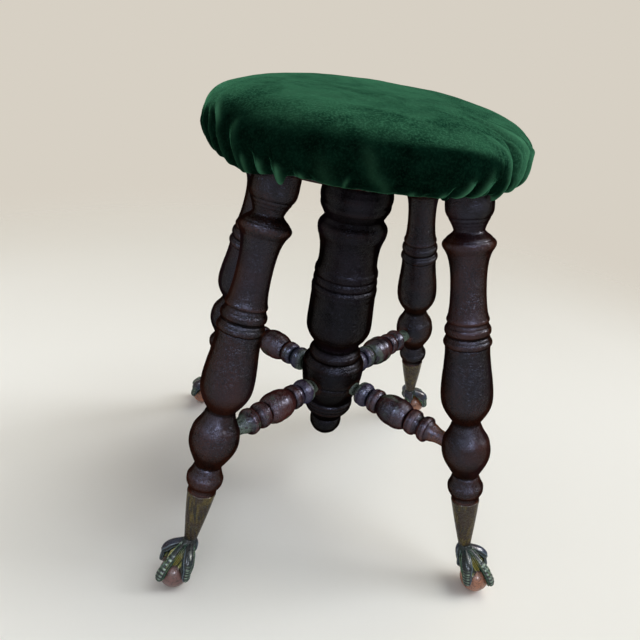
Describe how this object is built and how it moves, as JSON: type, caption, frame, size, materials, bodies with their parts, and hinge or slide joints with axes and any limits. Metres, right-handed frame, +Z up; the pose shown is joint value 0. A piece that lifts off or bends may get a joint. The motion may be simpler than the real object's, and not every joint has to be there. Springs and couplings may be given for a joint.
{
  "type": "revolving piano stool",
  "caption": "Revolving piano stool: a round velvet-covered seat on an iron screw in a turned column, on splayed turned legs with stretchers and claw-and-ball feet.",
  "frame": {"origin": "on the floor under the middle of the column, which is the middle of the footprint", "axes": "+Z up along the column and the screw; -Y is the front; the four legs stand on the diagonals of X and Y"},
  "size_m": [0.3976, 0.3976, 0.5373],
  "materials": {
    "velvet": "deep green cotton velvet, soft pile",
    "elastic": "woven elastic band",
    "padding": "stuffed hair and wadding",
    "board_wood": "plain unvarnished hardwood",
    "dark_wood": "old dark crackled varnish",
    "worn_wood": "old dark varnish, rubbed and stained",
    "cast_iron": "blackened casting",
    "screw_iron": "greased wrought iron thread",
    "screw_steel": "dull old steel",
    "aged_brass": "tarnished brass, green and dark in the hollows",
    "ball_glass": "pressed glass, dull and tinted"
  },
  "bodies": {
    "base": {"nut_plate": "cast_iron", "nut_screws": "screw_steel", "leg_block": "dark_wood", "column": "dark_wood", "drop_finial": "dark_wood", "leg_back_right": "dark_wood", "leg_back_left": "dark_wood", "leg_front_left": "dark_wood", "leg_front_right": "dark_wood", "stretcher_back_right": "worn_wood", "stretcher_back_left": "worn_wood", "stretcher_front_left": "worn_wood", "stretcher_front_right": "worn_wood", "claw_back_right": "aged_brass", "claw_back_left": "aged_brass", "claw_front_left": "aged_brass", "claw_front_right": "aged_brass", "ball_back_right": "ball_glass", "ball_back_left": "ball_glass", "ball_front_left": "ball_glass", "ball_front_right": "ball_glass"},
    "lift": {"stop_washer": "screw_steel"},
    "seat": {"seat_cover": "velvet", "hem_elastic": "elastic", "seat_padding": "padding", "seat_board": "board_wood", "seat_flange": "cast_iron", "flange_screws": "screw_steel", "seat_spindle": "screw_iron", "stop_nut": "screw_steel"}
  },
  "joints": [
    {"name": "seat_lift", "type": "slide", "parent": "base", "child": "lift", "axis": [0, 0, 1], "range_m": [0, 0.112]},
    {"name": "seat_turn", "type": "hinge", "parent": "lift", "child": "seat", "pos_m": [0, 0, 0.4855], "axis": [0, 0, 1], "range_deg": [0, 5040]}
  ],
  "couplings": [
    {"joint": "seat_lift", "follows": "seat_turn", "m_per_rad": 0.0012732}
  ]
}
